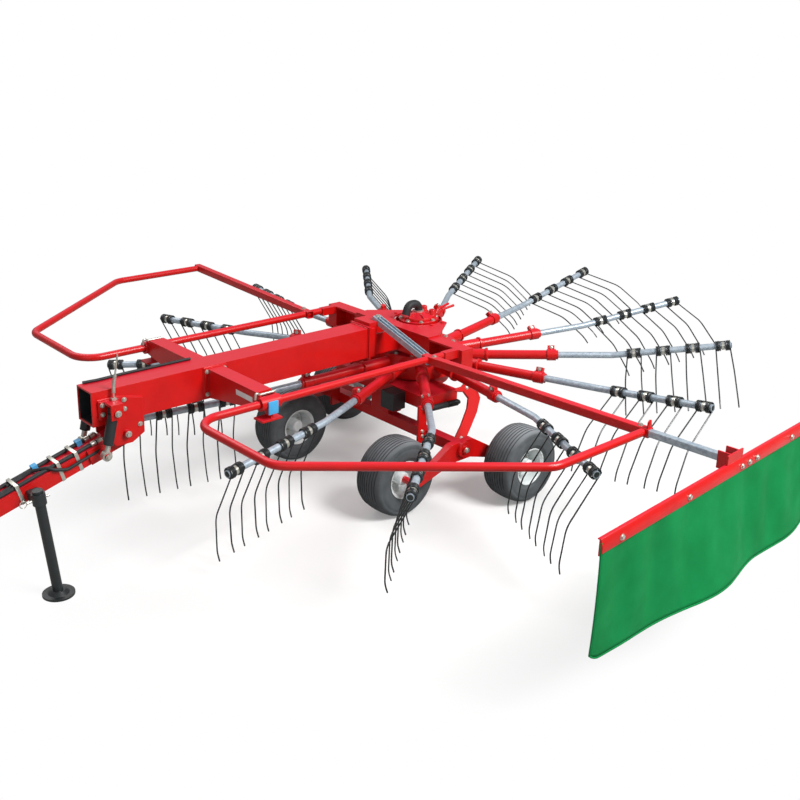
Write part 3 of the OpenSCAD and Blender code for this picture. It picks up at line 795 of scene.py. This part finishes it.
@dataclass
class Wheels:
    """Ribbed implement tyres and their dished rims."""

    shop: Workshop
    fasteners: Fasteners
    radius: float = 0.2285
    half_width: float = 0.106
    bead: float = 0.1015
    # tag, hub in mm from the rotor, and the side that the rim's bore faces
    places: tuple = (("fl", 626, 500, 1), ("fr", 626, -500, -1), ("rl", -72, 830, -1), ("rr", -72, -830, 1))
    # the grooves' places, in half widths, their depth, and half their widths at the top and the bed
    grooves: tuple = (-0.64, -0.457, -0.274, -0.091, 0.091, 0.274, 0.457, 0.64)
    groove: float = 0.007
    mouth: float = 0.0038
    bed: float = 0.0022
    nut_count: int = 5
    nut_circle: float = 0.053

    def profile(self) -> Section:
        """Give the tyre's section as (distance from the axle, sideways) points."""
        r, w, b = self.radius, self.half_width, self.bead
        side = [(b, -0.72 * w), (b + 0.010, -0.80 * w), (b + 0.030, -0.91 * w), (b + 0.034, -0.945 * w),
                (b + 0.040, -0.95 * w), (r - 0.062, -w), (r - 0.046, -0.985 * w), (r - 0.040, -0.955 * w),
                (r - 0.035, -0.955 * w), (r - 0.030, -0.965 * w), (r - 0.020, -0.92 * w),
                (r - 0.013, -0.85 * w), (r - 0.008, -0.74 * w)]
        ribs = []
        for centre in self.grooves:
            y, top = centre * w, r - 0.004 * (centre / 0.55) ** 2
            low = top - self.groove
            ribs += [(top, y - self.mouth), (low, y - self.bed), (low, y + self.bed), (top, y + self.mouth)]
        return side + ribs + [(x, -y) for x, y in side[::-1]]

    @staticmethod
    def rim_profile() -> Section:
        """Give the rim's section, its open bore towards positive places."""
        return [(0.1135, -0.0905), (0.1135, -0.086), (0.1012, -0.074), (0.1, -0.04), (0.094, -0.024),
                (0.094, 0.024), (0.1, 0.04), (0.1012, 0.074), (0.1135, 0.086), (0.1135, 0.0905),
                (0.109, 0.0905), (0.097, 0.078), (0.096, 0.043), (0.09, 0.026), (0.074, 0.018),
                (0.064, 0.004), (0.042, 0.002), (0.0395, 0.006), (0.038, 0.07), (0.034, 0.076),
                (0.0206, 0.076), (0.0206, -0.066), (0.0, -0.066), (0.0, -0.08), (0.03, -0.079),
                (0.037, -0.072), (0.039, -0.006), (0.042, -0.002), (0.062, 0.0), (0.072, -0.004),
                (0.088, 0.006), (0.092, -0.024), (0.096, -0.043), (0.097, -0.078), (0.109, -0.0905)]

    def build(self) -> None:
        """Spin the tyre and the rim of each wheel and nut the rim."""
        for tag, x, y, side in self.places:
            hub = row(x, y, self.radius / MM)
            turn = turned(hub, 0 if side > 0 else pi, "Z")
            tyre = moved(spun(f"ribbed_tyre_{tag}", self.profile(), 96), Matrix.Translation(hub))
            self.shop.dress(tyre, Slot.TYRE, f"wheel_{tag}", f"tyre_{tag}")
            rim = moved(spun(f"dished_rim_{tag}", self.rim_profile(), 64, True), turn)
            self.shop.dress(rim, Slot.RIM, f"wheel_{tag}", f"rim_{tag}")
            nuts = []
            for k in range(self.nut_count):
                a = tau * k / self.nut_count + 0.3
                for face, out in ((0.0035, 1), (-0.0015, -1)):
                    spot = Vector((self.nut_circle * cos(a), face, self.nut_circle * sin(a)))
                    nuts.append((turn @ spot, (turn.to_3x3() @ Vector((0, out, 0))).normalized()))
            self.fasteners.set_on(f"wheel_nuts_{tag}", f"wheel_{tag}", 0.011, nuts)


@dataclass
class Guards:
    """Bent guard tubes, square bars and the sliding arm."""

    shop: Workshop
    radius: float = 0.0205
    bend: float = 0.13
    bar: float = 0.046  # widths of the cross bars and of the arm that slides in the left one
    arm: float = 0.036
    wall: float = 0.004
    bar_ends: tuple = (-0.035, 1.435)
    arm_ends: tuple = (0.875, 1.866)
    corners: tuple = ((350, 560), (1975, 560), (1968, 1190), (1022, 1962), (389, 1962))

    def slide(self) -> None:
        """Make the sliding arm, and the lug that stops it at the end of the left bar."""
        arm = square_tube("sliding_arm", self.arm, self.wall, *self.arm_ends)
        self.shop.dress(moved(arm, bar_frame()), Slot.GALVANISED, "curtain", "slide_arm")
        outline = [(-0.019, 0.0), (0.019, 0.0), (0.015, 0.034), (0.004, 0.044), (-0.012, 0.040)]
        y, z = self.bar_ends[1] - 0.005, self.bar / 2 - 0.001
        stand = Matrix(((1, 0, 0, 0), (0, 0, -1, y), (0, 1, 0, z), (0, 0, 0, 1)))
        lug = plate("stop_lug", outline, 0.007, 0.0015)
        self.shop.dress(moved(lug, bar_frame() @ stand), Slot.RED, "guard_l")

    def build(self) -> None:
        """Bend a tube and cut a square bar for each side, with the sliding arm on the left."""
        for tag, side in (("left", 1), ("right", -1)):
            body = f"guard_{tag[0]}"
            run = rounded([row(x, side * y, HINGE_MM[2]) for x, y in self.corners], self.bend, 12)
            self.shop.dress(tube(f"guard_tube_{tag}", [run], self.radius, 6), Slot.RED, body, f"guard_{tag}")
            start, end = (side * y for y in self.bar_ends)
            bar = square_tube(f"square_bar_{tag}", self.bar, self.wall, start, end)
            self.shop.dress(moved(bar, bar_frame(side)), Slot.RED, body, f"bar_{tag}")
            if side > 0:
                self.slide()


@dataclass
class Curtain:
    """The green swath cloth, hung on its rail."""

    shop: Workshop
    reach: float = 1.8775  # place of the cloth along the left cross bar
    width: float = 2.11
    top: float = -0.017
    length: float = 0.533
    fold: float = 0.008  # depth of the soft folds at mid height
    curl: float = 0.030  # lift of the hem's front corner, over this share of the width
    curl_share: float = 0.03
    # how far the hem swings out, rear to front, mm
    swings: tuple = (26, 16, 22, 42, 62, 70, 64, 55, 50, 62, 82, 100, 102, 86, 60, 38, 23, 16, 11, 2, -6)
    columns: int = 150
    rows: int = 26

    def swing(self, u: float) -> float:
        """Give the hem's swing in metres at a share of the width."""
        last = len(self.swings) - 1
        i = min(int(u * last), last - 1)
        f = u * last - i
        a, b, c, d = (self.swings[min(max(k, 0), last)] for k in (i - 1, i, i + 1, i + 2))
        return MM * (b + 0.5 * f * (c - a + f * (2 * a - 5 * b + 4 * c - d + f * (3 * (b - c) + d - a))))

    def spot(self, u: float, v: float) -> Vector:
        """Give the cloth's place at shares of its width and drop."""
        out = self.swing(u)
        ripple = self.fold * sin(v * pi) * sin(u * 52 + 0.6) * (1 - 0.5 * sin(u * 13))
        lift = out * out / (2 * self.length) * v
        corner = self.curl * max(0.0, 1 - (1 - u) / self.curl_share) ** 2 * v**6
        y = self.reach + out * v**1.4 + ripple
        z = self.top - v * self.length + lift + corner
        return bar_frame() @ Vector(((u - 0.5) * self.width, y, z))

    def build(self) -> None:
        """Hang the cloth with soft folds and a swung hem, and roll its border."""
        columns, rows = self.columns, self.rows
        points = [self.spot(i / columns, j / rows) for j in range(rows + 1) for i in range(columns + 1)]
        n = columns + 1
        faces = [(j * n + i, j * n + i + 1, (j + 1) * n + i + 1, (j + 1) * n + i)
                 for j in range(rows) for i in range(columns)]
        cloth = from_points("swath_cloth", points, [], faces)
        bpy.ops.object.shade_smooth()
        modify(cloth, "SOLIDIFY", thickness=0.002, offset=0.0)
        self.shop.dress(cloth, Slot.CLOTH, "curtain", "curtain_cloth")
        down, across = 20, 120
        border = [self.spot(0, j / down) for j in range(down)]
        border += [self.spot(i / across, 1) for i in range(across + 1)]
        border += [self.spot(1, j / down) for j in range(down - 1, -1, -1)]
        hem = self.shop.dress(tube("cloth_hem", [border], 0.0045, 2), Slot.CLOTH, "curtain")
        self.clamp()

    def clamp(self) -> None:
        """Fold the red angle that clamps the cloth's top edge to the rail."""
        face, top, fold, leg, wall = self.reach + 0.0075, -0.002, 0.030, 0.060, 0.005
        lean, lip = face - 0.010, face - 0.026
        outline = [(lip, top), (lip, top - wall), (lean - wall, top - wall),
                   (face - wall, top - fold - 0.001), (face - wall, top - leg), (face, top - leg),
                   (face, top - fold), (lean, top)]
        long = self.width + 0.006
        lay = Matrix(((0, 0, 1, -long / 2), (1, 0, 0, 0), (0, 1, 0, 0), (0, 0, 0, 1)))
        angle = plate("clamp_angle", outline, long, 0.0012)
        self.shop.dress(moved(angle, bar_frame() @ lay), Slot.RED, "curtain")


@dataclass
class Fittings:
    """Hoses, levers, springs, beads and the small pieces between the main ones."""

    shop: Workshop
    rotor: Matrix = field(default_factory=rotor_frame)
    draw: Matrix = field(default_factory=lambda: turned(row(2070, 0, 728), radians(16.5), "Y"))
    jack: Matrix = field(default_factory=lambda: turned(row(2500, 126, 0), radians(6.2), "Y"))

    @staticmethod
    def run(base: Matrix, points: list[tuple], bend: float, steps: int = 6) -> Path:
        """Give a rounded run from millimetre points in a local frame."""
        return rounded([base @ (Vector(p) * MM) for p in points], bend, steps)

    def filler(self) -> None:
        """Bend the black filler elbow and clamp it on its neck."""
        path = self.run(self.rotor, [(0, 0, 262), (0, 0, 336), (84, 0, 346), (108, 0, 284)], 0.042, 10)
        self.shop.dress(tube("filler_pipe", [path], 0.0255, 5), Slot.HOSE, "frame", "filler_elbow")
        ring = [(0.0262, 0.0), (0.031, 0.001), (0.031, 0.013), (0.0262, 0.014)]
        stand = self.rotor @ Matrix.Translation((0, 0, 0.283)) @ AXIS_Z
        self.shop.dress(moved(spun("filler_clamp", ring, 36, True), stand), Slot.ZINC, "frame")

    def cover(self) -> None:
        """Cast the gearbox cover with its ribs and two bosses."""
        bell = [(0.0262, 0.255), (0.098, 0.246), (0.099, 0.258), (0.096, 0.263), (0.074, 0.267),
                (0.060, 0.273), (0.044, 0.279), (0.036, 0.284), (0.0262, 0.285)]
        boss = [(0.006, 0.246), (0.026, 0.246), (0.025, 0.262), (0.021, 0.268), (0.020, 0.294),
                (0.018, 0.297), (0.006, 0.297)]
        web = [(0.040, 0.262), (0.097, 0.250), (0.096, 0.268), (0.080, 0.277), (0.040, 0.283)]
        rib = plate("rib", web, 0.011, 0.002)
        turns = [Matrix.Rotation(radians(a), 4, "Z") @ AXIS_Z for a in range(12, 360, 60)]
        pieces = [spun("bell", bell, 64, True), copies(rib, turns, "ribs")]
        pieces[0].data.transform(AXIS_Z)
        for k, (x, y) in enumerate(((-0.062, 0.058), (-0.078, -0.034))):
            knob = spun(f"boss_{k}", boss, 28, True)
            pieces.append(moved(knob, Matrix.Translation((x, y, 0)) @ AXIS_Z))
        self.shop.dress(moved(merged("gear_cover", pieces), self.rotor), Slot.RED, "frame")

    def shroud(self) -> None:
        """Turn the casting wall that closes the gap between the gearbox and its plate."""
        wall = [(0.1405, 0.180), (0.147, 0.180), (0.1475, 0.232), (0.146, 0.236), (0.1405, 0.236)]
        self.shop.dress(moved(spun("gear_shroud", wall, 64, True), self.rotor @ AXIS_Z), Slot.RED, "frame")

    def lever(self) -> None:
        """Make the valve lever with its foot and grip."""
        pad = [(-0.014, -0.011), (0.014, -0.011), (0.014, 0.011), (-0.014, 0.011)]
        foot = moved(plate("foot", pad, 0.012, 0.002), Matrix.Translation(row(2136, 98, 922)))
        rod = [(2136, 98, 926), (2131, 97, 1000), (2118, 96, 1062), (2100, 93, 1150)]
        sleeve = [(2133.7, 97.5, 960), (2131, 97, 1000), (2120.5, 96.2, 1050)]
        stem = tube("stem", [self.run(MACHINE, rod, 0.03)], 0.0045, 3)
        grip = tube("grip", [self.run(MACHINE, sleeve, 0.03)], 0.009, 4)
        self.shop.dress(merged("lever", [foot, stem, grip]), Slot.ZINC, "frame", "valve_lever")

    def hoses(self) -> None:
        """Lay the hoses on the beam and along the drawbar."""
        beam = [(x, y, 982.5) for x, y in ((2212, -66), (2140, -58), (2000, -66), (1800, -67), (1606, -66))]
        pipe = tube("beam_pipe", [self.run(MACHINE, beam, 0.2)], 0.0075, 4)
        self.shop.dress(pipe, Slot.HOSE, "frame", "beam_hose")
        far = [(108, -38, 15), (300, -39, 15), (520, -37, 15), (842, -38, 15)]
        near = [(108, 36, 15), (250, 37, 15), (400, 35, 15), (620, 37, 15), (842, 36, 15)]
        runs = [self.run(self.draw, far, 0.3), self.run(self.draw, near, 0.3)]
        self.shop.dress(tube("drawbar_pipes", runs, 0.010, 4), Slot.HOSE, "towbar", "drawbar_hoses")
        cross = [(150, 60, -22), (330, 60, -26), (384, 60, 4), (410, 40, 26), (470, -10, 24), (520, -16, 15),
                 (600, -17, 14)]
        loop = [(560, 10, 14), (640, 12, 14), (690, 34, 24), (722, 58, 16), (748, 60, -30), (780, 60, -62),
                (846, 60, -64)]
        side = [self.run(self.draw, cross, 0.03), self.run(self.draw, loop, 0.03)]
        self.shop.dress(tube("drawbar_leads", side, 0.0085, 4), Slot.HOSE, "towbar")
        ferrule = [(0.0102, 0.0), (0.0135, 0.001), (0.0135, 0.026), (0.0102, 0.028)]
        seats = [self.draw @ Matrix.Translation((x, y, 0.015)) @ AXIS_X
                 for y in (-0.038, 0.036) for x in (0.112, 0.146, 0.806)]
        piece = copies(spun("ferrule", ferrule, 24, True), seats, "hose_ferrules")
        self.shop.dress(piece, Slot.ZINC, "towbar")

    def bands(self) -> None:
        """Strap silver bands around drawbar and hoses."""
        x, y, z = 0.009, 0.0515, 0.052
        points = [(side, *corner) for side in (-x, x) for corner in ((-y, -z), (y, -z), (y, z), (-y, z))]
        faces = [(k, (k + 1) % 4, (k + 1) % 4 + 4, k + 4) for k in range(4)]
        strap = from_points("strap", points, [], faces)
        modify(strap, "SOLIDIFY", thickness=0.0015, offset=1.0)
        modify(strap, "BEVEL", width=0.004, segments=3)
        smooth()
        seats = [self.draw @ Matrix.Translation((x, 0, -0.0245)) for x in (0.262, 0.360, 0.575, 0.760)]
        self.shop.dress(copies(strap, seats, "silver_bands"), Slot.ZINC, "towbar")

    def jack_pin(self) -> None:
        """Put the pull pin through the jack's collar."""
        height, start, end, loop = 0.536, -0.052, 0.060, 0.017
        pin = tube("pin", [[self.jack @ Vector((x, 0, height)) for x in (start, end)]], 0.006, 4)
        ring = [self.jack @ Vector((end + loop - loop * cos(a), 0, height - loop * sin(a)))
                for a in [tau * k / 24 for k in range(25)]]
        pull = tube("pull", [ring], 0.0022, 3)
        self.shop.dress(merged("jack_pin", [pin, pull]), Slot.ZINC, "towbar")

    def springs(self) -> None:
        """Wind the springs on the height rams."""
        runs = [helix(row(72, s * 433, 524.7), row(164, s * 433, 530), 0.0172, 8.5) for s in (1, -1)]
        self.shop.dress(tube("ram_springs", runs, 0.0032, 2), Slot.BLACK, "frame")

    def beads(self) -> None:
        """Lay weld beads where plates meet the beam."""
        # x and z of each bead on both sides, its y and its corners' bend
        sides = (
            (((1478, 800), (1614, 800), (1614, 970), (1478, 970), (1478, 801)), 76, 0.006),
            (((1971, 796), (1971, 896), (2108, 928), (2211, 928)), 76, 0.01),
            (((492, 797), (492, 974)), 76, 0.01),
            (((241, 884), (241, 928)), 540, 0.01),
            (((241, 884), (241, 928)), 580, 0.01),
        )
        runs = [self.run(MACHINE, [(x, s * y, z) for x, z in line], bend, 3)
                for s in (1, -1) for line, y, bend in sides]
        runs.append(self.run(MACHINE, [(492, -74, 976), (492, 74, 976)], 0.01, 3))
        self.shop.dress(tube("weld_beads", runs, 0.0045, 3), Slot.RED, "frame")

    def markers(self) -> None:
        """Fix the blank white label, the blue markers and their pins on the guard brackets."""
        sheet = [(0.342, 0.461), (0.487, 0.459), (0.486, 0.487), (0.341, 0.489)]
        stand = Matrix(((0, 0, 1, 1.5922 - EYE.x), (1, 0, 0, 0), (0, 1, 0, 0), (0, 0, 0, 1)))
        self.shop.dress(moved(plate("label", sheet, 0.0006, 0.0002), stand), Slot.RIM, "frame")
        square = [(-0.029, -0.034), (0.029, -0.034), (0.029, 0.034), (-0.029, 0.034)]
        seats = [aim(row(1546, s * 594.5, 896), Vector((0, s, 0))) for s in (1, -1)]
        tiles = copies(plate("tile", square, 0.009, 0.003), seats, "blue_markers")
        self.shop.dress(tiles, Slot.BLUE, "frame")
        hook = ((1500, 957), (1590, 957), (1612, 972), (1616, 936))
        pins = [self.run(MACHINE, [(x, s * 545, z) for x, z in hook], 0.012) for s in (1, -1)]
        self.shop.dress(tube("lock_pins", pins, 0.0065, 4), Slot.ZINC, "frame")

    def build(self) -> None:
        """Make all the fittings."""
        for make in (self.filler, self.cover, self.shroud, self.lever, self.hoses, self.bands,
                     self.jack_pin, self.springs, self.beads, self.markers):
            make()


@dataclass
class Studio:
    """Floor, light and camera."""

    eye_mm: tuple = (4399.4, 4605.3, 2824.0)
    looks: Vector = field(default_factory=lambda: Vector((-0.65532, -0.68599, -0.31620)))
    head: Vector = field(default_factory=lambda: Vector((-0.19202, -0.25357, 0.94807)))
    lens: float = 47.794
    shift: tuple = (-0.0232, -0.0576)
    # for the camera the floor turns into a painted white glow between two distances from its middle, which
    # hides the shadows cast there
    middle: tuple = (-2.6, 0.2, FLOOR_Z)
    fade: tuple = (1.15, 2.25)
    floor_glow: float = 0.22  # share of the painted white glow at the middle, which thins the machine's cast shadow
    sky: float = 0.29  # strength of the sky's light, which the camera sees as white
    target: Vector = field(default_factory=lambda: Vector((-2.4, 0, 0)))
    # name, place, size and power of each soft box
    lamps: tuple = (
        ("key", (-4.2, 6.5, 6.5), 3.5, 1050),
        ("fill", (4.0, 4.0, 4.0), 5.0, 70),
        ("rim", (-2.0, -6.0, 7.5), 6.0, 330),
    )

    def camera(self) -> None:
        """Stand the camera where the photograph was taken."""
        data = bpy.data.cameras.new("photo_camera")
        data.sensor_width, data.lens = 36.0, self.lens
        data.shift_x, data.shift_y = self.shift
        data.clip_end = 200.0
        cam = added("photo_camera", data)
        back = -self.looks.normalized()
        side = self.head.cross(back).normalized()
        top = back.cross(side)
        turn = Matrix((side, top, back)).transposed().to_4x4()
        cam.matrix_world = Matrix.Translation(row(*self.eye_mm)) @ turn
        bpy.context.scene.camera = cam

    def floor(self) -> None:
        """Lay a pale floor that glows white for the camera: a painted glow that thins the machine's cast
        shadow near its middle and becomes a plain white backdrop farther out.
        """
        bpy.ops.mesh.primitive_plane_add(size=80, location=(-2, 0, FLOOR_Z))
        plane = bpy.context.view_layer.objects.active
        plane.name = "floor"
        mat = bpy.data.materials.new("pale studio floor")
        mat.use_nodes = True
        tree = mat.node_tree
        shader = tree.nodes["Principled BSDF"]
        shader.inputs["Roughness"].default_value = 0.9
        place = add_node(tree, "NewGeometry", {}, {}).outputs["Position"]
        flat = add_node(tree, "VectorMath", {"operation": "DISTANCE"}, {"Vector": place})
        flat.inputs[1].default_value = self.middle
        span = {"From Min": self.fade[0], "From Max": self.fade[1], "To Min": self.floor_glow}
        fade = add_node(tree, "MapRange", span, {"Value": flat.outputs["Value"]})
        seen = add_node(tree, "LightPath", {}, {}).outputs["Is Camera Ray"]
        tree.links.new(mix(tree, seen, "A2A2A0", "F4F4F3"), shader.inputs["Base Color"])
        # painted glow seen only by the camera: part of it near the middle thins the cast shadow, and it
        # covers the whole floor farther out
        share = add_node(tree, "Math", {"operation": "MULTIPLY"}, {0: fade.outputs["Result"], 1: seen})
        floor_glow = add_node(tree, "Emission", {"Color": (1, 1, 1, 1), "Strength": 1.0}, {})
        layers = {0: share.outputs["Value"], 1: shader.outputs["BSDF"], 2: floor_glow.outputs["Emission"]}
        blend = add_node(tree, "MixShader", {}, layers)
        tree.links.new(blend.outputs["Shader"], tree.nodes["Material Output"].inputs["Surface"])
        plane.data.materials.append(mat)

    def lights(self) -> None:
        """Hang soft boxes and an even pale sky."""
        world = bpy.data.worlds.new("studio")
        bpy.context.scene.world = world
        world.use_nodes = True
        tree = world.node_tree
        sky = tree.nodes["Background"]
        sky.inputs["Color"].default_value = (1, 1, 1, 1)
        seen = add_node(tree, "LightPath", {}, {}).outputs["Is Camera Ray"]
        level = add_node(tree, "MapRange", {"To Min": self.sky, "To Max": 1.0}, {"Value": seen})
        tree.links.new(level.outputs["Result"], sky.inputs["Strength"])
        for name, place, size, power in self.lamps:
            data = bpy.data.lights.new(name, "AREA")
            data.size, data.energy = size, power
            lamp = added(name, data)
            lamp.location = place
            lamp.rotation_euler = (self.target - Vector(place)).to_track_quat("-Z", "Y").to_euler()
        bpy.context.scene.view_settings.view_transform = "Standard"

    def build(self) -> None:
        """Set up the studio."""
        self.camera()
        self.floor()
        self.lights()


def main() -> None:
    """Build the dressed rake around the frame."""
    logging.basicConfig(level=logging.INFO)
    for leftover in list(bpy.data.objects):
        bpy.data.objects.remove(leftover)
    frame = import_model()
    Studio().build()
    shop = Workshop()
    shop.paint_nodes(frame)
    bolts = Fasteners(shop)
    for part in (Rotor(shop), Wheels(shop, bolts), Guards(shop), Curtain(shop), Fittings(shop), bolts):
        part.build()


if __name__ == "__main__":
    main()
